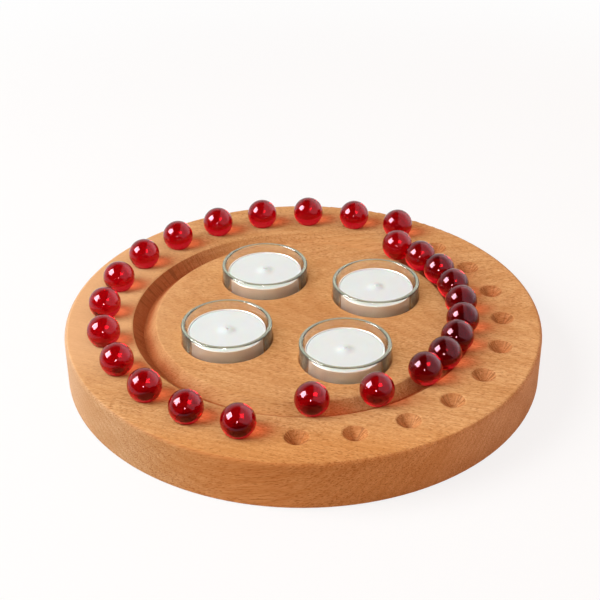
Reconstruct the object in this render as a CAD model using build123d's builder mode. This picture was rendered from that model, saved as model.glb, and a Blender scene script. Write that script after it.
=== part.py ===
from build123d import *

import os
from math import asin, cos, degrees, radians, sin, tan

# Round advent candle holder of solid beech. Four tealights stand in glass cups in the middle of the board.
# Red glass marbles wait in a ring of conical seats or roll in a ring groove.
# Millimetres and degrees. The origin is the centre of the board's underside, +Z is up and the grain runs
# along X. Angles turn from +X towards +Y.

# Tealight: a pressed aluminium tray full of wax, with a wick in a clip
tealight_diameter = 38.4
tealight_height = 15.8
tray_thickness = 0.2
tray_draft = 1.0
tray_corner = 1.4
wax_drop = 0.3
wax_edge_round = 0.6
wax_clearance = 0.05
wick_diameter = 1.6
wick_stand = 1.6
wick_tip_round = 0.5
wick_clearance = 0.05
clip_diameter = 12.0
clip_thickness = 0.3
clip_neck_wall = 0.4
clip_neck_height = 4.0

# Glass cup round each tealight
cup_wall = 2.0
cup_floor = 3.0
cup_draft = 1.5
cup_lip = 4.1
cup_stand = 8.6
cup_base_round = 2.0
cup_inner_round = 1.2
cup_rim_flat = 0.8
cup_punt_depth = 0.5
cup_foot_width = 4.0
tealight_clearance = 1.3
cup_clearance = 0.25
seat_clearance = 0.1

# Marbles, and the pointed cutter that makes their seats and their groove
marble_diameter = 16.4
marble_clearance = 0.1
cutter_angle = 90.0
cutter_tip = 0.8
seat_mouth = 12.0
groove_width = 12.0
seat_count = 24
first_filled_seat = 2
seat_marble_count = 14
train_count = 9
train_start_angle = 50.2
train_gap = 0.15
loose_gaps = [12.4, 14.5]

# Board, built outwards from the four cups: the wood left between the bores, between the bores and the
# groove, between the groove and the seats, and between the seats and the edge
board_thickness = 25.0
cup_count = 4
cup_web = 14.9
inner_land = 8.84
middle_land = 8.3
outer_land = 13.4
layout_angle = 28.22
board_top_round = 2.0
board_bottom_round = 1.0
lip_ease = 0.4

# Derived sizes of the tealight and its cup
tray_radius = tealight_diameter / 2 - tray_thickness
tray_roll_height = tealight_height - tray_thickness
cup_radius = tealight_diameter / 2 + tealight_clearance + cup_wall
cup_height = cup_floor + seat_clearance + tealight_height + cup_lip
cup_rim_round = (cup_wall - cup_rim_flat) / 2
bore_radius = cup_radius + cup_clearance
bore_depth = cup_height + seat_clearance - cup_stand

# Derived heights over the board's underside
cup_base = board_thickness - bore_depth + seat_clearance
tray_base = cup_base + cup_floor + seat_clearance

# Derived rings of the board
cup_ring = (bore_radius + cup_web / 2) / sin(radians(180 / cup_count))
groove_inner = cup_ring + bore_radius + inner_land
groove_ring = groove_inner + groove_width / 2
groove_outer = groove_inner + groove_width
seat_ring = groove_outer + middle_land + seat_mouth / 2
board_radius = seat_ring + seat_mouth / 2 + outer_land


def cut_depth(mouth):
    """Depth of a cut of this width at the board's top, made with the pointed cutter."""
    return (mouth - cutter_tip) / 2 / tan(radians(cutter_angle / 2))


def marble_height(mouth):
    """Height of a marble's centre that rests on the two slopes of such a cut."""
    slope = radians(cutter_angle / 2)
    reach = marble_diameter / 2 + marble_clearance
    return board_thickness + reach / sin(slope) - mouth / 2 / tan(slope)


def ring_point(radius, angle, height):
    """A point on a level ring about the board's axis."""
    return (radius * cos(radians(angle)), radius * sin(radians(angle)), height)


def upright(point):
    """The upright plane through a point, on which a turned piece's half section is drawn."""
    return Plane(origin=point, x_dir=(1, 0, 0), z_dir=(0, -1, 0))


def tray_wall(height, inset):
    """Radius of the tray's side at a height over its base, set in from its outer face."""
    draft = radians(tray_draft)
    return tray_radius - (tray_roll_height - height) * tan(draft) - inset / cos(draft)


def write(piece, name):
    """Names a finished piece and writes it to its own file."""
    piece.part.label = name
    export_step(piece.part, f"parts/{name}.step")


os.makedirs("parts", exist_ok=True)
cup_angles = [layout_angle + number * 360 / cup_count for number in range(cup_count)]

# Board: turned disc with its ring groove, then the marble seats and the cup bores
with BuildPart() as board:
    with BuildSketch(Plane.XZ) as disc_section:
        with BuildLine():
            Polyline(
                (0, 0),
                (board_radius, 0),
                (board_radius, board_thickness),
                (groove_outer, board_thickness),
                (groove_ring + cutter_tip / 2, board_thickness - cut_depth(groove_width)),
                (groove_ring - cutter_tip / 2, board_thickness - cut_depth(groove_width)),
                (groove_inner, board_thickness),
                (0, board_thickness),
                close=True,
            )
        make_face()
        groove_lips = disc_section.vertices().group_by(Axis.Y)[-1].sort_by(Axis.X)[1:3]
        chamfer(groove_lips, lip_ease)
        top_corner = disc_section.vertices().group_by(Axis.Y)[-1].sort_by(Axis.X)[-1]
        fillet(top_corner, board_top_round)
        bottom_corner = disc_section.vertices().group_by(Axis.Y)[0].sort_by(Axis.X)[-1]
        fillet(bottom_corner, board_bottom_round)
    revolve(axis=Axis.Z)
    with Locations(Plane.XY.offset(board_thickness)):
        with PolarLocations(seat_ring, seat_count, start_angle=layout_angle):
            Cone(
                cutter_tip / 2,
                seat_mouth / 2,
                cut_depth(seat_mouth),
                align=(Align.CENTER, Align.CENTER, Align.MAX),
                mode=Mode.SUBTRACT,
            )
    with Locations(*[ring_point(cup_ring, angle, board_thickness) for angle in cup_angles]):
        Hole(bore_radius, depth=bore_depth)
    rims = board.edges().filter_by(GeomType.CIRCLE).group_by(Axis.Z)[-1]
    chamfer(rims.filter_by(lambda rim: rim.radius < cup_ring), lip_ease)
write(board, "board")

# Glass cups and the tealights that stand in them
for number, angle in enumerate(cup_angles, start=1):
    cup_place = ring_point(cup_ring, angle, cup_base)
    tray_place = ring_point(cup_ring, angle, tray_base)
    centre_line = Axis(cup_place, (0, 0, 1))
    cup_taper = tan(radians(cup_draft))

    # Pressed glass with drafted sides, a rounded rim and a hollow under its base
    with BuildPart() as glass_cup:
        with BuildSketch(upright(cup_place)) as cup_section:
            base_radius = cup_radius - cup_height * cup_taper
            foot_radius = base_radius - cup_foot_width
            with BuildLine():
                punt = TangentArc((0, cup_punt_depth), (foot_radius, 0), tangent=(1, 0))
                Polyline(
                    punt @ 1,
                    (base_radius, 0),
                    (cup_radius, cup_height),
                    (cup_radius - cup_wall, cup_height),
                    (cup_radius - cup_wall - (cup_height - cup_floor) * cup_taper, cup_floor),
                    (0, cup_floor),
                    punt @ 0,
                )
            make_face()
            inner_corner = cup_section.vertices().group_by(Axis.Y)[-2].sort_by(Axis.X)[-1]
            fillet(inner_corner, cup_inner_round)
            base_corner = cup_section.vertices().group_by(Axis.Y)[0].sort_by(Axis.X)[-1]
            fillet(base_corner, cup_base_round)
            rim_corners = cup_section.vertices().group_by(Axis.Y)[-1]
            fillet(rim_corners, cup_rim_round)
        revolve(axis=centre_line)
    write(glass_cup, f"glass_cup_{number}")

    # Thin tray with drafted sides and a rolled rim
    with BuildPart() as tealight_tray:
        with BuildSketch(upright(tray_place)) as tray_section:
            with BuildLine():
                FilletPolyline(
                    (0, 0),
                    (tray_wall(0, 0), 0),
                    (tray_radius, tray_roll_height),
                    radius=tray_corner,
                )
                offset(amount=tray_thickness, side=Side.LEFT)
            make_face()
            with Locations((tray_radius, tray_roll_height)):
                Circle(tray_thickness)
        revolve(axis=centre_line)
    write(tealight_tray, f"tealight_tray_{number}")

    # Wax that fills the tray, with a hole for the wick and a hollow for its clip
    wax_inset = tray_thickness + wax_clearance
    wax_top = tealight_height - wax_drop
    neck_radius = wick_diameter / 2 + wick_clearance + clip_neck_wall
    clip_top = wax_inset + clip_thickness
    with BuildPart() as candle_wax:
        with BuildSketch(upright(tray_place)) as wax_section:
            with BuildLine():
                Polyline(
                    (clip_diameter / 2 + wax_clearance, wax_inset),
                    (tray_wall(wax_inset, wax_inset), wax_inset),
                    (tray_wall(wax_top, wax_inset), wax_top),
                    (wick_diameter / 2 + wick_clearance, wax_top),
                    (wick_diameter / 2 + wick_clearance, clip_top + clip_neck_height + wax_clearance),
                    (neck_radius + wax_clearance, clip_top + clip_neck_height + wax_clearance),
                    (neck_radius + wax_clearance, clip_top + wax_clearance),
                    (clip_diameter / 2 + wax_clearance, clip_top + wax_clearance),
                    close=True,
                )
            make_face()
            bottom_corner = wax_section.vertices().group_by(Axis.Y)[0].sort_by(Axis.X)[-1]
            chamfer(bottom_corner, tray_corner - wax_inset)
            top_corner = wax_section.vertices().group_by(Axis.Y)[-1].sort_by(Axis.X)[-1]
            fillet(top_corner, wax_edge_round)
        revolve(axis=centre_line)
    write(candle_wax, f"candle_wax_{number}")

    # Pressed clip with a neck that holds the wick upright
    with BuildPart() as wick_clip:
        with BuildSketch(upright(tray_place)) as clip_section:
            with BuildLine():
                Polyline(
                    (wick_diameter / 2 + wick_clearance, wax_inset),
                    (clip_diameter / 2, wax_inset),
                    (clip_diameter / 2, clip_top),
                    (neck_radius, clip_top),
                    (neck_radius, clip_top + clip_neck_height),
                    (wick_diameter / 2 + wick_clearance, clip_top + clip_neck_height),
                    close=True,
                )
            make_face()
        revolve(axis=centre_line)
    write(wick_clip, f"wick_clip_{number}")

    # Wick from the clip's underside to above the wax
    with BuildPart() as wick:
        with BuildSketch(Plane(origin=tray_place).offset(wax_inset)):
            Circle(wick_diameter / 2)
        extrude(amount=wax_top + wick_stand - wax_inset)
        fillet(wick.faces().sort_by(Axis.Z)[-1].edges(), wick_tip_round)
    write(wick, f"wick_{number}")

# Marbles that wait in the seats
for number in range(1, seat_marble_count + 1):
    seat_angle = layout_angle + (first_filled_seat + number - 1) * 360 / seat_count
    seat_place = ring_point(seat_ring, seat_angle, marble_height(seat_mouth))
    with BuildPart(Plane(origin=seat_place)) as seat_marble:
        Sphere(marble_diameter / 2)
    write(seat_marble, f"seat_marble_{number:02d}")

# Marbles that lie in the groove: a train of near touching ones, then single ones further on
groove_gaps = [train_gap] * (train_count - 1) + loose_gaps
groove_angle = train_start_angle
for number, gap in enumerate(groove_gaps + [0], start=1):
    groove_place = ring_point(groove_ring, groove_angle, marble_height(groove_width))
    with BuildPart(Plane(origin=groove_place)) as groove_marble:
        Sphere(marble_diameter / 2)
    write(groove_marble, f"groove_marble_{number:02d}")
    groove_angle -= 2 * degrees(asin((marble_diameter + gap) / 2 / groove_ring))
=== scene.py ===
import math
import random

import bmesh
import bpy
from mathutils import Euler, Matrix, Vector, noise


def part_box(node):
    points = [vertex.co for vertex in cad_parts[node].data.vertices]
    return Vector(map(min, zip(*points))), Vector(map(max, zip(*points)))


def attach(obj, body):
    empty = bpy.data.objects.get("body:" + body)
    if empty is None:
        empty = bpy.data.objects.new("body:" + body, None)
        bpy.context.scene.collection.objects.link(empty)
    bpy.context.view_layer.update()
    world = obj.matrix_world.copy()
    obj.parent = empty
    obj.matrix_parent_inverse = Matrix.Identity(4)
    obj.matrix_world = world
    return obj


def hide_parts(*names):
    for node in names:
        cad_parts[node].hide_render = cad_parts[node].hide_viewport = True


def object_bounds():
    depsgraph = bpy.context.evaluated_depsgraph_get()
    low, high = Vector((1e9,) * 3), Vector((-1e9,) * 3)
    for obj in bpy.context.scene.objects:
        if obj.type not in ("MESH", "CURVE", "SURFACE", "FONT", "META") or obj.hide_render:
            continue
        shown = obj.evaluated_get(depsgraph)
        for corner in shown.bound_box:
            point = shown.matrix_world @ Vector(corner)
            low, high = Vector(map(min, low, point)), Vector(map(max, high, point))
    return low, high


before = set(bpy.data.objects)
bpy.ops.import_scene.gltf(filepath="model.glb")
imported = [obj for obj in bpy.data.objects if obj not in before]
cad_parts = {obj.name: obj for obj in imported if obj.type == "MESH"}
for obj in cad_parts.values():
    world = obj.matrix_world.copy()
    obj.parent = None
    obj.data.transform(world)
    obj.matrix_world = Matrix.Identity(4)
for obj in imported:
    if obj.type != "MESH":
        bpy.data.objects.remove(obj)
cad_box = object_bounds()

# Advent candle holder: a beech board with four tealights in glass cups and a ring of ruby glass marbles.
# Metres and degrees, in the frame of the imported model. Colours are linear. Two numbers for one edge are
# where it begins and where it ends.

# Camera, from the middle of the board's top
camera_distance = 0.67578
camera_elevation = 32.424
camera_pan = -0.134
camera_tilt = 0.647
camera_roll = -0.214
camera_lens = 79.9
camera_sensor = 36.0

# Key light: a square soft box on the left, with a bright core before it that shows only as a glint
key_bearing = 188.0
key_elevation = 39.0
key_distance = 1.6
key_size = 1.0
key_radiance = 7.5
glint_gap = 0.02
glint_size = 0.86
glint_radiance = 20.0

# Pale panel over the right: what glass and metal mirror of it, and the warm light that it sends back
panel_middle = (0.50, -0.10, 0.275)
panel_slope = 32.0
panel_width = 1.6
panel_length = 0.957
panel_radiance = 1.0
bounce_gap = 0.03
bounce_colour = (1.0, 0.70, 0.56)
bounce_radiance = 0.34

# Small lamp beside the camera that puts a spark on each marble
spark_bearing = -97.0
spark_elevation = 25.5
spark_distance = 0.70
spark_size = 0.085
spark_radiance = 50.0

# Room: a warm fill that grows towards the ceiling, and the white backdrop that glass and metal show
fill_colour = (0.225, 0.152, 0.12)
fill_at_floor = 0.5
fill_at_ceiling = 1.8
room_in_reflections = 0.04
room_through_glass = 0.12
backdrop_side_edge = (-0.1, 0.35)
backdrop_top_edge = (0.5, 0.85)
white = (1.0, 1.0, 1.0)

# Table: white apart from a pale shadow round the board. Glass and metal mirror it only up to a front edge
floor_size = 24.0
floor_gap = 0.0002
floor_tones = (0.84, 0.84, 0.84), (0.87, 0.87, 0.87)
floor_cloud = 0.4
floor_share_of_white = 0.82
floor_reach_of_shadow = 0.7
floor_front_edge = (-0.26, -0.16)

# Light runs round inside the thick glass rims for longer than Blender follows it by default
bounces_in_all = 32
bounces_in_glass = 32
bounces_in_mirrors = 16

# Grain of the board: it runs along X, a little askew, rises to the right and wanders
grain_skew = 10.0
grain_rise = 12.0
grain_wander = 0.007
grain_wander_size = (0.16, 0.05)
pith = (0.0, 0.03, -0.075)
ring_width = 0.0031

# Figure of the wood. A size is a length along the grain and a width across it, an edge is where the pattern
# sets in, and a share is how much of its colour shows
tone_size = (0.10, 0.014)
ring_uneven_size = (0.05, 0.006)
late_wood_start = (0.35, 0.9)
late_wood_end = (0.9, 1.0)
late_wood_share = 0.3
streak_size = (0.03, 0.0008)
streak_edge = (0.35, 0.75)
streak_share = 0.5
fibre_size = (0.009, 0.00036)
fibre_edge = (0.32, 0.68)
fibre_share = 0.58
fleck_size = (0.0034, 0.00042)
fleck_edge = (0.52, 0.68)
fleck_share = 0.66
crowd_size = (0.05, 0.02)
crowd_shift = (0.055, -0.02)
# The sapwood share on the left of the top also carries painted light
sapwood_and_light_share = 0.75

# Wood colours: two tones and what lies over them, then tints for parts of the board, several of them partly
# painted light and shade
beech_tones = (0.686, 0.400, 0.168), (0.806, 0.516, 0.246)
late_wood_colour = (0.52, 0.22, 0.07)
streak_colour = (0.53, 0.24, 0.075)
fibre_colour = (0.54, 0.24, 0.08)
fleck_colour = (0.36, 0.135, 0.04)
# Sapwood colour, partly painted light on the left of the top
sapwood_and_light_colour = (0.79, 0.485, 0.255)
torn_colour = (0.20, 0.066, 0.018)
# Drilled colour also paints the shade in the point of each seat
drilled_and_shade_colour = (0.26, 0.10, 0.03)
# The heart tint is partly painted shade, the front tint painted shade
heart_and_shade_tint = (0.88, 0.82, 0.77)
front_shade_tint = (1.0, 0.89, 0.73)
outer_cut_tint = (0.91, 0.77, 0.71)
# The end grain tint also darkens the bottom of the groove as painted shade
end_grain_and_shade_tint = (0.66, 0.37, 0.28)
# Tints at the rim's two ends: a painted sheen on the left, painted light on the right
left_end_sheen_tint = (0.84, 1.03, 1.30)
right_end_light_tint = (1.08, 1.14, 1.35)

# Parts of the board's top, as distances from its axis or from the X or Y axis
heart_edge = (0.025, 0.105)
sapwood_and_light_edge = (-0.118, -0.045)
sapwood_and_light_front_edge = (-0.08, -0.02)
front_edge = (-0.112, -0.080)

# Cuts of the board, by the slope of a face, by distance from the board's axis and by height
cut_slope = (0.72, 0.97)
end_grain_slope = (0.25, 0.62)
groove_inner_edge = (0.072, 0.076)
groove_inner_flank = (0.0793, 0.0803)
groove_outer_flank = (0.0795, 0.0815)
groove_tear_edge = (0.0866, 0.0872)
groove_outer_edge = (0.086, 0.090)
groove_end = (0.0872, 0.0880)
# Below these heights the bottom of the groove is darkened as painted shade
groove_bottom = (0.0195, 0.0204)
groove_flank_heights = (0.0198, 0.0245)
groove_flank_fade = 0.75
seat_count = 24
seat_first_angle = 28.22
seat_ring = 0.1006
seat_outer_edge = (0.1075, 0.1085)
# Within this reach of its tip each seat is darkened as painted shade
seat_point = (0.0003, 0.0024)
rim_edge = (0.114, 0.119)
left_end_slope = (-0.65, -0.15)
right_end_slope = (0.75, 0.25)

# Marks that the cutters left, with painted shade in the point of each seat: patterns per metre or radian, where
# they set in and how much of them shows
tear_ring = 0.083
tear_pattern = (1100.0, 90.0, 1.0)
tear_edge = (0.50, 0.66)
tear_share = 0.5
drill_pattern_around = 5.5
drill_pattern_down = 160.0
drill_pattern_by_seat = 3.0
drill_edge = (0.48, 0.62)
drill_slope = (0.1, 0.6)
drill_share_with_grain = 0.3
drill_and_shade_share = 0.6

# Ruby glass: lamp light is gathered in the middle of a marble and lost at its edge
ruby_tones = (0.44, 0.0010, 0.009), (0.54, 0.0020, 0.013)
ruby_sheen = (1.0, 0.42, 0.52)
ruby_lamp_light = (1.28, 0.64, 0.57), (0.22, 0.02, 0.03)
ruby_lamp_edge = (0.0, 0.34)
ruby_stray_light = (0.5, 0.06, 0.07)

# Pressed glass: clear, with a rim that is paler and greener on its crest, painted light for the light that the
# rim gathers
cup_colours = (0.96, 0.98, 0.96), (0.84, 0.98, 0.79)
cup_light = (0.95, 0.97, 0.955)
cup_body_colour = (0.66, 0.92, 0.78)
cup_body_density = 9.0
cup_rim_below_top = (0.0012, 0.0004)
cup_crest_slope = (0.60, 0.92)
cup_transmission = 0.985
cup_crest_transmission = 0.70
glass_ior = 1.5

# Two tones each of the other materials
foil_tones = (0.73, 0.68, 0.65), (0.81, 0.76, 0.73)
wax_tones = (0.69, 0.800, 0.830), (0.73, 0.840, 0.870)
cotton_tones = (0.90, 0.91, 0.90), (0.95, 0.96, 0.95)
steel_tones = (0.52, 0.52, 0.51), (0.66, 0.66, 0.65)

# Glass cup, as pressed: walls that draw in towards the base, a rounded rim and a hollow under the base
cup_wall = 0.002
cup_floor = 0.003
cup_draft = 1.5
cup_base_round = 0.002
cup_inner_round = 0.0012
cup_rim_flat = 0.0001
cup_punt_depth = 0.0005
cup_foot_width = 0.004

# Tealight: a thin tray with a rolled rim, wax and a braided wick
tealight_count = 4
tray_thickness = 0.0002
tray_draft = 1.0
tray_corner = 0.0014
tray_roll_share = 0.98
tray_crease_share = 0.3
wax_drop_at_wall = 0.00035
wax_edge_round = 0.0006
wax_collar_height = 0.0010
wax_collar_reach = 0.0036
wax_wick_hole = 0.00085
wax_top_rings = 24
wick_strands = 3
wick_pitch = 0.0042
wick_strand_radius = 0.00042
wick_strand_end_share = 0.6
wick_flatness = 0.75
wick_tip_height = 0.0009
wick_tip_draw_in = 0.75
wick_sides = 8
wick_steps = 90
wick_sharp_angle = 80.0

# Marbles: slightly out of round, with two faint marks where the hot glass was cut off
marble_kinds = 5
marble_detail = 5
marble_out_of_round = 0.003
marble_ripple = 0.000006
marble_ripple_pitch = 2.2
marble_ripple_drift = 50
marble_mark_depth = 0.00004
marble_mark_width = 0.00035
marble_mark_length = 0.0016

# Most values of a noise lie between these
most_noise = (0.3, 0.7)

arc_steps = 8
lathe_steps = 192
on_axis = 1e-7
seed = 24


class Nodes:
    """A node tree, with short ways to add its nodes."""

    def __init__(self, tree):
        self.tree = tree
        self.tree.nodes.clear()

    def add(self, kind, **settings):
        node = self.tree.nodes.new("ShaderNode" + kind)
        for key, value in settings.items():
            setattr(node, key, value)
        return node

    def feed(self, socket, value):
        """Joins an output to a socket, or sets the socket to a plain number, vector or colour."""
        if isinstance(value, bpy.types.NodeSocket):
            self.tree.links.new(value, socket)
        elif socket.type == "RGBA":
            socket.default_value = (*value, 1.0)
        else:
            socket.default_value = value

    def feed_all(self, sockets, values):
        """Feeds the first of these sockets, in their order."""
        for socket, value in zip(sockets, values):
            self.feed(socket, value)

    def math(self, operation, *values, clamp=False):
        node = self.add("Math", operation=operation, use_clamp=clamp)
        self.feed_all(node.inputs, values)
        return node.outputs[0]

    def both(self, *shares):
        """The product of two or more shares."""
        product = shares[0]
        for share in shares[1:]:
            product = self.math("MULTIPLY", product, share)
        return product

    def vector(self, operation, *values):
        node = self.add("VectorMath", operation=operation)
        self.feed_all(node.inputs, values)
        return node.outputs["Value" if operation == "LENGTH" else "Vector"]

    def split(self, vector):
        """The three parts of a vector."""
        node = self.add("SeparateXYZ")
        self.feed(node.inputs[0], vector)
        return node.outputs

    def join(self, *parts):
        """A vector of three parts."""
        node = self.add("CombineXYZ")
        self.feed_all(node.inputs, parts)
        return node.outputs[0]

    def noise(self, where, detail=2.0, roughness=0.5, colour=False):
        node = self.add("TexNoise")
        self.feed(node.inputs["Vector"], where)
        self.feed(node.inputs["Scale"], 1.0)
        self.feed(node.inputs["Detail"], detail)
        self.feed(node.inputs["Roughness"], roughness)
        return node.outputs["Color" if colour else "Fac"]

    def stretch(self, where, length, width):
        """Scales a place so that a pattern of unit size gets this length along X and this width across."""
        return self.vector("MULTIPLY", where, (1 / length, 1 / width, 1 / width))

    def span(self, value, low, high, new_low=0.0, new_high=1.0):
        """Goes softly from one value to another between low and high."""
        node = self.add("MapRange", interpolation_type="SMOOTHSTEP")
        self.feed_all(node.inputs, (value, low, high, new_low, new_high))
        return node.outputs["Result"]

    def fall(self, value, low, high):
        """Falls softly from 1 to 0 between low and high."""
        return self.span(value, low, high, 1.0, 0.0)

    def blend(self, share, first, second, how="MIX"):
        """One colour or the other."""
        node = self.add("Mix", data_type="RGBA", blend_type=how)
        self.feed(node.inputs["Factor"], share)
        self.feed_all([socket for socket in node.inputs if socket.type == "RGBA"], (first, second))
        return [socket for socket in node.outputs if socket.type == "RGBA"][0]

    def tint(self, share, colour, by):
        """A colour, multiplied by another one for a share."""
        return self.blend(share, colour, by, "MULTIPLY")

    def mix(self, share, first, second):
        """One shader or the other."""
        node = self.add("MixShader")
        self.feed_all(node.inputs, (share, first, second))
        return node.outputs[0]


class Recipe(Nodes):
    """A material's node tree."""

    def __init__(self, name):
        self.material = bpy.data.materials.new(name)
        self.material.use_nodes = True
        super().__init__(self.material.node_tree)
        self.shader = self.add("BsdfPrincipled")
        self.output = self.add("OutputMaterial")
        self.feed(self.output.inputs["Surface"], self.shader.outputs[0])

    def set(self, **values):
        """Sets or joins inputs of the main shader, named with underscores for spaces."""
        for key, value in values.items():
            self.feed(self.shader.inputs[key.replace("_", " ")], value)

    def place(self):
        """Where a point lies in its own object, in metres."""
        return self.add("TexCoord").outputs["Object"]

    def normal(self):
        """Which way a face looks."""
        return self.add("NewGeometry").outputs["Normal"]

    def let_light_through(self, lamp_tint, stray_tint):
        """Lets lamps and stray light pass straight through each face of the glass, tinted."""
        path = self.add("LightPath").outputs
        surface = self.shader.outputs[0]
        for ray, tint in (("Is Shadow Ray", lamp_tint), ("Is Diffuse Ray", stray_tint)):
            through = self.add("BsdfTransparent")
            self.feed(through.inputs["Color"], tint)
            surface = self.mix(path[ray], surface, through.outputs[0])
        self.feed(self.output.inputs["Surface"], surface)

    def bump(self, height, strength, distance):
        node = self.add("Bump")
        self.feed(node.inputs["Height"], height)
        self.feed(node.inputs["Strength"], strength)
        self.feed(node.inputs["Distance"], distance)
        self.feed(self.shader.inputs["Normal"], node.outputs["Normal"])


def along_grain(recipe, place):
    """Turns a place so that X follows the grain."""
    turned = place
    for axis, angle in (("Z_AXIS", grain_skew), ("Y_AXIS", grain_rise)):
        turn = recipe.add("VectorRotate", rotation_type=axis)
        recipe.feed(turn.inputs["Vector"], turned)
        recipe.feed(turn.inputs["Angle"], math.radians(angle))
        turned = turn.outputs[0]
    wander = recipe.noise(recipe.stretch(turned, *grain_wander_size), colour=True)
    wander = recipe.vector("SUBTRACT", wander, (0.5, 0.5, 0.5))
    return recipe.vector("ADD", turned, recipe.vector("MULTIPLY", wander, (0.0, grain_wander, grain_wander)))


def wood_figure(recipe, grain):
    """Colour of plain beech, and its shares of fibre and fleck."""
    # Growth rings about a pith that lies under the board
    outwards = recipe.vector("MULTIPLY", recipe.vector("SUBTRACT", grain, pith), (0.0, 1.0, 1.0))
    rings = recipe.math("DIVIDE", recipe.vector("LENGTH", outwards), ring_width)
    uneven = recipe.noise(recipe.stretch(grain, *ring_uneven_size))
    year = recipe.math("FRACT", recipe.math("ADD", rings, uneven))
    late_wood = recipe.both(recipe.span(year, *late_wood_start), recipe.fall(year, *late_wood_end))

    # Broad tone, long streaks, fine fibres, and flecks that crowd in some places
    tone = recipe.noise(recipe.stretch(grain, *tone_size), detail=3.0)
    streak = recipe.noise(recipe.stretch(grain, *streak_size), detail=3.0)
    fibre = recipe.noise(recipe.stretch(grain, *fibre_size), detail=3.0, roughness=0.6)
    crowd = recipe.span(recipe.noise(recipe.stretch(grain, *crowd_size)), *most_noise, *crowd_shift)
    fleck = recipe.noise(recipe.stretch(grain, *fleck_size), detail=1.0)
    fleck = recipe.span(recipe.math("SUBTRACT", fleck, crowd), *fleck_edge)

    colour = recipe.blend(recipe.span(tone, *most_noise), *beech_tones)
    colour = recipe.blend(recipe.both(late_wood, late_wood_share), colour, late_wood_colour)
    colour = recipe.blend(recipe.span(streak, *streak_edge, 0.0, streak_share), colour, streak_colour)
    colour = recipe.blend(recipe.span(fibre, *fibre_edge, 0.0, fibre_share), colour, fibre_colour)
    colour = recipe.blend(recipe.both(fleck, fleck_share), colour, fleck_colour)
    return colour, fibre, fleck


def groove_tears(recipe, heading, radius, end_grain):
    """Where the cutter of the groove tore the fibres that it met end on."""
    around = recipe.both(heading, tear_ring)
    pattern = recipe.vector("MULTIPLY", recipe.join(around, radius, 0.0), tear_pattern)
    torn = recipe.span(recipe.noise(pattern, detail=1.0), *tear_edge)
    flank = recipe.both(recipe.span(radius, *groove_outer_flank), recipe.fall(radius, *groove_tear_edge))
    return recipe.both(torn, recipe.both(flank, end_grain))


def seat_streaks_and_shade(recipe, heading, radius, across_grain, outer):
    """Where the drill of the seats left streaks, most on the flanks across the grain, with painted shade in a
    dark point at each seat's tip.
    """
    pitch = math.radians(360 / seat_count)
    from_first = recipe.math("SUBTRACT", heading, math.radians(seat_first_angle))
    turned = recipe.math("DIVIDE", from_first, pitch)
    beside = recipe.math("SUBTRACT", turned, recipe.math("ROUND", turned))
    beside = recipe.both(beside, pitch * seat_ring)
    beyond = recipe.math("SUBTRACT", radius, seat_ring)
    reach = recipe.vector("LENGTH", recipe.join(beside, beyond, 0.0))
    around = recipe.math("ARCTAN2", beside, beyond)
    pattern = recipe.join(
        recipe.both(around, drill_pattern_around),
        recipe.both(reach, drill_pattern_down),
        recipe.both(turned, drill_pattern_by_seat),
    )
    drilled = recipe.span(recipe.noise(pattern, detail=1.0), *drill_edge)
    streaks = recipe.both(drilled, recipe.span(across_grain, *drill_slope, drill_share_with_grain, 1.0))
    seat = recipe.both(outer, recipe.fall(radius, *seat_outer_edge))
    return recipe.both(recipe.math("MAXIMUM", streaks, recipe.fall(reach, *seat_point)), seat)


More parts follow.
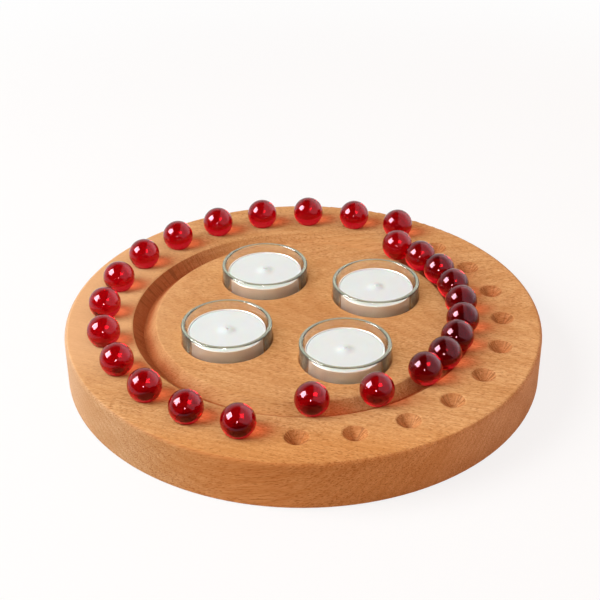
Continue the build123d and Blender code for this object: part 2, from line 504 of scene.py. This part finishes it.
def beech():
    """Oiled beech with fine fibres, short dark flecks and darker cut faces."""
    recipe = Recipe("oiled_beech")
    place = recipe.place()
    normal = recipe.normal()
    facing = recipe.split(normal)[0]
    across_grain, _, level = recipe.split(recipe.vector("ABSOLUTE", normal))
    colour, fibre, fleck = wood_figure(recipe, along_grain(recipe, place))

    # The heart of the board is darker, partly a heartwood tone and partly painted shade; the left is paler,
    # partly sapwood and partly painted light; and the front edge is warmer, a painted shade
    east, north, height = recipe.split(place)
    radius = recipe.vector("LENGTH", recipe.join(east, north, 0.0))
    colour = recipe.tint(recipe.fall(radius, *heart_edge), colour, heart_and_shade_tint)
    sapwood_and_light = recipe.span(east, *sapwood_and_light_edge, sapwood_and_light_share, 0.0)
    sapwood_and_light = recipe.both(sapwood_and_light, recipe.span(north, *sapwood_and_light_front_edge))
    colour = recipe.blend(sapwood_and_light, colour, sapwood_and_light_colour)
    colour = recipe.tint(recipe.fall(north, *front_edge), colour, front_shade_tint)

    # Cut faces drink more oil, most of all the end grain; the bottom of the groove takes the same dark tint as
    # painted shade in its crease
    side = recipe.fall(level, *cut_slope)
    outer = recipe.both(side, recipe.span(radius, *groove_end))
    colour = recipe.tint(outer, colour, outer_cut_tint)
    end_grain = recipe.span(across_grain, *end_grain_slope)
    end_grain = recipe.both(end_grain, recipe.math("SUBTRACT", side, outer))
    inner_flank = recipe.fall(radius, *groove_inner_flank)
    fade = recipe.both(inner_flank, recipe.span(height, *groove_flank_heights, 0.0, groove_flank_fade))
    end_grain = recipe.both(end_grain, recipe.math("SUBTRACT", 1.0, fade))
    bottom = recipe.both(recipe.fall(height, *groove_bottom), recipe.span(radius, *groove_inner_edge))
    bottom = recipe.both(bottom, recipe.fall(radius, *groove_outer_edge))
    colour = recipe.tint(recipe.math("MAXIMUM", end_grain, bottom), colour, end_grain_and_shade_tint)

    # The rim is greyer and bluer at its left end, a painted sheen, and paler at its right end, painted light
    rim = recipe.span(radius, *rim_edge)
    for slope, end_light_tint in ((left_end_slope, left_end_sheen_tint), (right_end_slope, right_end_light_tint)):
        colour = recipe.tint(recipe.both(recipe.fall(facing, *slope), rim), colour, end_light_tint)

    # Marks of the cutters, with painted shade in the point of each seat
    heading = recipe.math("ARCTAN2", north, east)
    tear = groove_tears(recipe, heading, radius, end_grain)
    colour = recipe.blend(recipe.both(tear, tear_share), colour, torn_colour)
    streaks = seat_streaks_and_shade(recipe, heading, radius, across_grain, outer)
    colour = recipe.blend(recipe.both(streaks, drill_and_shade_share), colour, drilled_and_shade_colour)

    recipe.set(Base_Color=colour, IOR=1.45, Specular_IOR_Level=0.04)
    recipe.set(Roughness=recipe.span(recipe.math("ADD", fibre, fleck), 0.2, 1.4, 0.60, 0.78))
    relief = recipe.math("SUBTRACT", recipe.both(fibre, 0.4), recipe.math("ADD", fleck, tear))
    recipe.bump(relief, strength=0.35, distance=0.00012)
    return recipe.material


def ruby_glass():
    """Deep red polished glass with faint cords of deeper colour."""
    recipe = Recipe("ruby_glass")
    cords = recipe.noise(recipe.stretch(recipe.place(), 0.009, 0.004))
    recipe.set(Base_Color=recipe.blend(cords, *ruby_tones), Specular_Tint=ruby_sheen)
    recipe.set(Transmission_Weight=1.0, IOR=glass_ior, Roughness=0.0)
    edge = recipe.span(recipe.add("LayerWeight").outputs["Facing"], *ruby_lamp_edge)
    recipe.let_light_through(recipe.blend(edge, *ruby_lamp_light), ruby_stray_light)
    return recipe.material


def pressed_glass(height):
    """Clear pressed glass of this height, with a fire-polished rim whose crest is partly diffuse and pale
    green, painted light for the light that the rim gathers.
    """
    recipe = Recipe("pressed_glass")
    place = recipe.place()
    smears = recipe.noise(recipe.stretch(place, 0.012, 0.006), detail=3.0)
    rim = recipe.span(recipe.split(place)[2], *(height - below for below in cup_rim_below_top))
    crest = recipe.both(rim, recipe.span(recipe.split(recipe.normal())[2], *cup_crest_slope))
    recipe.set(Base_Color=recipe.blend(rim, *cup_colours), IOR=glass_ior)
    # The crest's lower transmission paints the pale light that a rim of thick glass gathers
    recipe.set(Transmission_Weight=recipe.span(crest, 0.0, 1.0, cup_transmission, cup_crest_transmission))
    recipe.set(Roughness=recipe.span(smears, 0.4, 0.8, 0.0, 0.03))
    recipe.let_light_through(cup_light, cup_light)
    body = recipe.add("VolumeAbsorption")
    recipe.feed(body.inputs["Color"], cup_body_colour)
    recipe.feed(body.inputs["Density"], cup_body_density)
    recipe.feed(recipe.output.inputs["Volume"], body.outputs[0])
    return recipe.material


def pressed_aluminium():
    """Thin bright foil, satin, with faint drawing marks up its side."""
    recipe = Recipe("pressed_aluminium")
    marks = recipe.noise(recipe.vector("MULTIPLY", recipe.place(), (260.0, 260.0, 40.0)))
    recipe.set(Base_Color=recipe.blend(marks, *foil_tones))
    recipe.set(Metallic=1.0, Roughness=recipe.span(marks, *most_noise, 0.36, 0.42))
    recipe.bump(marks, strength=0.02, distance=0.00002)
    return recipe.material


def candle_wax():
    """White paraffin wax, satin and a little translucent."""
    recipe = Recipe("paraffin_wax")
    place = recipe.place()
    cloud = recipe.noise(recipe.stretch(place, 0.006, 0.006), detail=4.0)
    grit = recipe.noise(recipe.stretch(place, 0.0008, 0.0008))
    recipe.set(Base_Color=recipe.blend(cloud, *wax_tones))
    recipe.set(Subsurface_Weight=0.25, Subsurface_Scale=0.002)
    recipe.set(Roughness=recipe.span(cloud, *most_noise, 0.52, 0.64), IOR=1.43, Specular_IOR_Level=0.01)
    recipe.bump(recipe.math("ADD", cloud, recipe.both(grit, 0.15)), strength=0.12, distance=0.0001)
    return recipe.material


def cotton():
    """Waxed white cotton yarn with fine fibres along the strands."""
    recipe = Recipe("waxed_cotton")
    fibre = recipe.noise(recipe.vector("MULTIPLY", recipe.place(), (9000.0, 9000.0, 1500.0)))
    recipe.set(Base_Color=recipe.blend(fibre, *cotton_tones))
    recipe.set(Subsurface_Weight=0.5, Subsurface_Scale=0.002)
    recipe.set(Roughness=recipe.span(fibre, *most_noise, 0.5, 0.7))
    recipe.bump(fibre, strength=0.2, distance=0.00004)
    return recipe.material


def tinned_steel():
    """Thin tinned steel, rolled, with faint rolling lines."""
    recipe = Recipe("tinned_steel")
    lines = recipe.noise(recipe.stretch(recipe.place(), 0.02, 0.0002), detail=3.0)
    recipe.set(Base_Color=recipe.blend(lines, *steel_tones))
    recipe.set(Metallic=1.0, Roughness=recipe.span(lines, *most_noise, 0.28, 0.42))
    recipe.bump(lines, strength=0.1, distance=0.00002)
    return recipe.material


def put(name, data, place):
    """Adds an object to the scene at a place."""
    piece = bpy.data.objects.new(name, data)
    piece.location = place
    bpy.context.scene.collection.objects.link(piece)
    return piece


def paint(piece, material):
    """Gives a piece its only material."""
    piece.data.materials.clear()
    piece.data.materials.append(material)


def stand_for(piece, body, node):
    """Says which body a piece rides and which CAD node it stands for."""
    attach(piece, body)
    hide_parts(node)


def dress(piece, material, body, node):
    """Gives a piece its material, its body, the CAD node that it stands for and its material slot."""
    paint(piece, material)
    stand_for(piece, body, node)


def turned_node(name):
    """Middle of the base, radius and height of a CAD node that is round about an upright axis."""
    low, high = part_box(name)
    middle = (low + high) / 2
    base = Vector((middle.x, middle.y, low.z))
    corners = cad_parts[name].data.vertices
    radius = max((corner.co.xy - base.xy).length for corner in corners)
    return base, radius, high.z - low.z


def rounded(points, radii):
    """Rounds the corners of an open outline, each with its own radius."""
    outline = [Vector(points[0])]
    for before, corner, after, radius in zip(points, points[1:], points[2:], radii):
        corner = Vector(corner)
        back, onward = (Vector(before) - corner).normalized(), (Vector(after) - corner).normalized()
        half = back.angle(onward) / 2
        centre = corner + (back + onward).normalized() * radius / math.sin(half)
        start = corner + back * radius / math.tan(half) - centre
        end = corner + onward * radius / math.tan(half) - centre
        turn = math.atan2(start.x * end.y - start.y * end.x, start.dot(end))
        for step in range(arc_steps + 1):
            spun = Matrix.Rotation(turn * step / arc_steps, 2) @ start
            outline.append(centre + spun)
    outline.append(Vector(points[-1]))
    return outline


def lathe(name, outline, base, closed=False):
    """Turns an outline of (radius, height) about an upright axis through base."""
    shape = bmesh.new()
    angles = [2 * math.pi * step / lathe_steps for step in range(lathe_steps)]
    rings = []
    for radius, height in outline:
        if radius < on_axis:
            rings.append([shape.verts.new((0, 0, height))])
            continue
        rings.append([shape.verts.new((radius * math.cos(a), radius * math.sin(a), height)) for a in angles])
    for lower, upper in zip(rings, rings[1:] + rings[:1] if closed else rings[1:]):
        for step in range(lathe_steps):
            onward = (step + 1) % lathe_steps
            corners = [lower[step % len(lower)], lower[onward % len(lower)]]
            corners += [upper[onward % len(upper)], upper[step % len(upper)]]
            shape.faces.new(list(dict.fromkeys(corners)))
    bmesh.ops.recalc_face_normals(shape, faces=shape.faces)
    return finished(name, shape, base)


def finished(name, shape, base, sharp_angle=40.0):
    """Makes a smooth shaded piece of a built shape and puts it at its base."""
    mesh = bpy.data.meshes.new(name)
    shape.to_mesh(mesh)
    shape.free()
    mesh.shade_smooth()
    mesh.set_sharp_from_angle(angle=math.radians(sharp_angle))
    return put(name, mesh, base)


def glass_cup(name, node):
    """Pressed glass cup."""
    base, rim_radius, height = turned_node(node)
    taper = math.tan(math.radians(cup_draft))
    foot = rim_radius - height * taper
    inner = rim_radius - cup_wall
    rim_round = (cup_wall - cup_rim_flat) / 2
    punt_reach = foot - cup_foot_width
    punt = []
    for step in range(arc_steps):
        across = step / arc_steps
        punt.append((punt_reach * across, cup_punt_depth * (1 - across**2)))
    points = [
        (punt_reach, 0),
        (foot, 0),
        (rim_radius, height),
        (inner, height),
        (inner - (height - cup_floor) * taper, cup_floor),
        (0, cup_floor),
    ]
    radii = [cup_base_round, rim_round, rim_round, cup_inner_round]
    return lathe(name, punt + rounded(points, radii), base)


def tealight_tray(name, node):
    """Thin pressed tray, open at the top, with its edge rolled outwards."""
    base, rim_radius, height = turned_node(node)
    taper = math.tan(math.radians(tray_draft))
    wall = rim_radius - tray_thickness
    roll_height = height - tray_thickness
    foot = wall - roll_height * taper
    inside = wall - tray_thickness
    points = [
        (0, 0),
        (foot, 0),
        (wall, roll_height - tray_thickness),
        (rim_radius, roll_height - tray_thickness),
        (rim_radius, height),
        (inside, height),
        (foot - tray_thickness, tray_thickness),
        (0, tray_thickness),
    ]
    crease = tray_thickness * tray_crease_share
    rolled = tray_thickness * tray_roll_share
    radii = [tray_corner, crease, rolled, rolled, rolled, tray_corner - tray_thickness]
    return lathe(name, rounded(points, radii), base)


def wax_fill(name, node):
    """Wax that has drawn down at the wall and climbed a little way up the wick."""
    base, radius, height = turned_node(node)
    taper = math.tan(math.radians(tray_draft))
    foot = radius - height * taper
    shoulder = radius - wax_edge_round
    outline = [(wax_wick_hole, 0), (foot - tray_corner, 0), (foot, tray_corner)]
    for step in range(arc_steps + 1):
        angle = math.pi / 2 * step / arc_steps
        drop = wax_edge_round * (1 - math.sin(angle)) + wax_drop_at_wall * (1 - step / arc_steps)
        outline.append((shoulder + wax_edge_round * math.cos(angle), height - drop))
    for step in range(1, wax_top_rings + 1):
        place = shoulder + (wax_wick_hole - shoulder) * step / wax_top_rings
        away = (place - wax_wick_hole) / wax_collar_reach
        outline.append((place, height + wax_collar_height * math.exp(-2 * away**2)))
    return lathe(name, outline, base, closed=True)


def braided_wick(name, node):
    """Plaited cotton wick with a rounded, waxed tip."""
    base, radius, height = turned_node(node)
    reach = radius - wick_strand_radius
    shape = bmesh.new()
    for strand in range(wick_strands):
        start = 2 * math.pi * strand / wick_strands
        path = []
        for step in range(wick_steps + 1):
            rise = step / wick_steps * (height - wick_strand_radius)
            turn = start + 2 * math.pi * rise / wick_pitch
            width = reach * (1 - wick_tip_draw_in * max(0.0, 1 - (height - rise) / wick_tip_height))
            path.append(Vector((width * math.cos(turn), wick_flatness * width * math.sin(2 * turn), rise)))
        add_strand(shape, path)
    return finished(name, shape, base, wick_sharp_angle)


def add_strand(shape, path):
    """Adds a closed tube along a path to a shape."""
    last = len(path) - 1
    rings = []
    for index, point in enumerate(path):
        ahead = path[min(index + 1, last)] - path[max(index - 1, 0)]
        turn = ahead.to_track_quat("Z", "X")
        thick = wick_strand_radius * (wick_strand_end_share if index in (0, last) else 1.0)
        ring = []
        for side in range(wick_sides):
            angle = 2 * math.pi * side / wick_sides
            outward = turn @ Vector((math.cos(angle), math.sin(angle), 0))
            ring.append(shape.verts.new(point + outward * thick))
        rings.append(ring)
    for lower, upper in zip(rings, rings[1:]):
        for side in range(wick_sides):
            onward = (side + 1) % wick_sides
            shape.faces.new((lower[side], lower[onward], upper[onward], upper[side]))
    shape.faces.new(list(reversed(rings[0])))
    shape.faces.new(rings[-1])


def marble_mesh(number, radius):
    """Machine made marble: a little out of round and rippled, with a cut-off mark at each end."""
    draw = random.Random(seed + number)
    stretch = [1 + marble_out_of_round * draw.uniform(-1, 1) for _ in range(3)]
    drift = Vector([draw.uniform(0, marble_ripple_drift) for _ in range(3)])
    shape = bmesh.new()
    bmesh.ops.create_icosphere(shape, subdivisions=marble_detail, radius=radius)
    for corner in shape.verts:
        outward = corner.co.normalized()
        ripple = marble_ripple * noise.noise(outward * marble_ripple_pitch + drift)
        along = abs(corner.co.x) / marble_mark_length
        beside = corner.co.y / marble_mark_width
        mark = marble_mark_depth * math.exp(-(along**4) - beside**2)
        corner.co = Vector([part * share for part, share in zip(corner.co, stretch)])
        corner.co += outward * (ripple - mark)
    mesh = bpy.data.meshes.new(f"marble_kind_{number}")
    shape.to_mesh(mesh)
    shape.free()
    mesh.shade_smooth()
    return mesh


def marble(name, node, kinds, draw):
    """One marble, of one of the kinds, turned at random."""
    base, _, height = turned_node(node)
    piece = put(name, draw.choice(kinds), base + Vector((0, 0, height / 2)))
    piece.rotation_euler = Euler([draw.uniform(0, 2 * math.pi) for _ in range(3)])
    return piece


def bearing(angle, elevation):
    """Unit vector at an angle from +X towards +Y and an elevation."""
    turn, rise = math.radians(angle), math.radians(elevation)
    return Vector((math.cos(turn) * math.cos(rise), math.sin(turn) * math.cos(rise), math.sin(rise)))


def soft_box(name, place, towards, width, length, radiance):
    """Rectangular area light at a place, shining along a direction. Its length runs up its slope."""
    light = bpy.data.lights.new(name, "AREA")
    light.shape = "RECTANGLE"
    light.size = width
    light.size_y = length
    # Blender spreads the power of an area light over four times its area
    light.energy = radiance * 4 * width * length
    lamp = put(name, light, place)
    lamp.rotation_euler = (-towards).to_track_quat("Z", "Y").to_euler()
    lamp.visible_camera = False
    return lamp


def studio_lamps():
    """The key light with its core, the panel with its bounce, and the spark."""
    key_side = bearing(key_bearing, key_elevation)
    soft_box("key", key_side * key_distance, -key_side, key_size, key_size, key_radiance)
    core_place = key_side * (key_distance - glint_gap)
    core = soft_box("key_core", core_place, -key_side, glint_size, glint_size, glint_radiance)
    core.visible_diffuse = False
    core.visible_transmission = False

    panel_side = bearing(0.0, 90.0 - panel_slope)
    panel = soft_box("panel", panel_middle, -panel_side, panel_width, panel_length, panel_radiance)
    panel.visible_diffuse = False
    bounce_middle = Vector(panel_middle) - panel_side * bounce_gap
    bounce = soft_box("bounce", bounce_middle, -panel_side, panel_width, panel_length, bounce_radiance)
    bounce.data.color = bounce_colour
    bounce.visible_glossy = False
    bounce.visible_transmission = False

    spark_side = bearing(spark_bearing, spark_elevation)
    spark = soft_box("spark", spark_side * spark_distance, -spark_side, spark_size, spark_size, spark_radiance)
    spark.visible_diffuse = False


def white_room():
    """White backdrop for what is seen, a dark room in front of it, and a dim fill for the rest."""
    world = bpy.data.worlds.new("room")
    bpy.context.scene.world = world
    world.use_nodes = True
    nodes = Nodes(world.node_tree)
    path = nodes.add("LightPath").outputs
    _, north, up = nodes.split(nodes.add("TexCoord").outputs["Generated"])
    backdrop = nodes.both(nodes.span(north, *backdrop_side_edge), nodes.fall(up, *backdrop_top_edge))
    brighter = room_through_glass - room_in_reflections
    room = nodes.math("MULTIPLY_ADD", path["Is Transmission Ray"], brighter, room_in_reflections)
    strength = nodes.math("MAXIMUM", nodes.math("MAXIMUM", backdrop, room), path["Is Camera Ray"])
    seen = nodes.math("MAXIMUM", path["Is Camera Ray"], path["Is Glossy Ray"])
    seen = nodes.math("MAXIMUM", seen, path["Is Transmission Ray"])
    fill, view = nodes.add("Background"), nodes.add("Background")
    nodes.feed(fill.inputs["Color"], fill_colour)
    nodes.feed(fill.inputs["Strength"], nodes.span(up, 0.0, 1.0, fill_at_floor, fill_at_ceiling))
    nodes.feed(view.inputs["Color"], white)
    nodes.feed(view.inputs["Strength"], strength)
    output = nodes.add("OutputWorld")
    nodes.feed(output.inputs["Surface"], nodes.mix(seen, fill.outputs[0], view.outputs[0]))


def white_table():
    """White paint that keeps a pale shadow of the object."""
    recipe = Recipe("white_table")
    place = recipe.place()
    soft = recipe.noise(recipe.stretch(place, floor_cloud, floor_cloud))
    recipe.set(Base_Color=recipe.blend(soft, *floor_tones), Roughness=0.9, Specular_IOR_Level=0.0)
    path = recipe.add("LightPath").outputs
    mirrored = recipe.math("SUBTRACT", path["Is Glossy Ray"], path["Is Transmission Ray"], clamp=True)
    far_front = recipe.fall(recipe.split(place)[1], *floor_front_edge)
    glow = recipe.add("Emission")
    recipe.feed(glow.inputs["Strength"], recipe.math("SUBTRACT", 1.0, recipe.both(mirrored, far_front)))
    seen = recipe.math("MAXIMUM", path["Is Camera Ray"], path["Is Transmission Ray"])
    distance = recipe.vector("LENGTH", place)
    shadow_edge = (floor_reach_of_shadow / 2, floor_reach_of_shadow)
    whiteness = recipe.span(distance, *shadow_edge, floor_share_of_white, 1.0)
    share = recipe.math("MAXIMUM", recipe.both(seen, whiteness), mirrored)
    recipe.feed(recipe.output.inputs["Surface"], recipe.mix(share, recipe.shader.outputs[0], glow.outputs[0]))
    return recipe.material


def pale_floor():
    """Table top under the object."""
    mesh = bpy.data.meshes.new("table")
    reach = floor_size / 2
    level = cad_box[0].z - floor_gap
    corners = [(-reach, -reach, level), (reach, -reach, level), (reach, reach, level), (-reach, reach, level)]
    mesh.from_pydata(corners, [], [(0, 1, 2, 3)])
    table = put("table", mesh, (0, 0, 0))
    paint(table, white_table())


def swing(first, second, angle):
    """Turns two unit vectors in their plane, the first one towards the second."""
    turn = math.radians(angle)
    return first * math.cos(turn) + second * math.sin(turn), second * math.cos(turn) - first * math.sin(turn)


def photo_camera():
    """Camera where the photograph was taken from."""
    rise = math.radians(camera_elevation)
    target = Vector((0, 0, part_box("board")[1].z))
    place = target + Vector((0, -math.cos(rise), math.sin(rise))) * camera_distance
    onward = (target - place).normalized()
    right = Vector((1, 0, 0))
    up = right.cross(onward)
    onward, right = swing(onward, right, camera_pan)
    onward, up = swing(onward, up, camera_tilt)
    right, up = swing(right, up, camera_roll)
    data = bpy.data.cameras.new("camera")
    data.sensor_width = camera_sensor
    data.lens = camera_lens
    camera = put("camera", data, place)
    turn = Matrix((right, up, -onward)).transposed()
    camera.matrix_world = Matrix.Translation(place) @ turn.to_4x4()
    bpy.context.scene.camera = camera


# Board: the CAD solid, with its wood
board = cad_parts["board"]
paint(board, beech())

# Glass cups with their tealights
glass = pressed_glass(turned_node("glass_cup_1")[2])
foil = pressed_aluminium()
wax = candle_wax()
yarn = cotton()
steel = tinned_steel()
for number in range(1, tealight_count + 1):
    cup_body, light_body = f"glass_cup_{number}", f"tealight_{number}"
    dress(glass_cup(f"cup_glass_{number}", cup_body), glass, cup_body, cup_body)
    tray = f"tealight_tray_{number}"
    dress(tealight_tray(f"tray_foil_{number}", tray), foil, light_body, tray)
    fill = f"candle_wax_{number}"
    dress(wax_fill(f"wax_fill_{number}", fill), wax, light_body, fill)
    wick = f"wick_{number}"
    dress(braided_wick(f"braided_wick_{number}", wick), yarn, light_body, wick)
    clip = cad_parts[f"wick_clip_{number}"]
    paint(clip, steel)

# Marbles: a few kinds, each used many times
ruby = ruby_glass()
marble_nodes = sorted(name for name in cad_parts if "marble" in name)
marble_radius = turned_node(marble_nodes[0])[2] / 2
kinds = [marble_mesh(number, marble_radius) for number in range(marble_kinds)]
for kind in kinds:
    kind.materials.append(ruby)
draw = random.Random(seed)
for node in marble_nodes:
    stand_for(marble(f"glass_{node}", node, kinds, draw), node, node)

# Stage, light and camera
pale_floor()
white_room()
studio_lamps()
photo_camera()
scene = bpy.context.scene
scene.view_settings.view_transform = "Standard"
scene.cycles.max_bounces = bounces_in_all
scene.cycles.glossy_bounces = bounces_in_mirrors
scene.cycles.transmission_bounces = bounces_in_glass
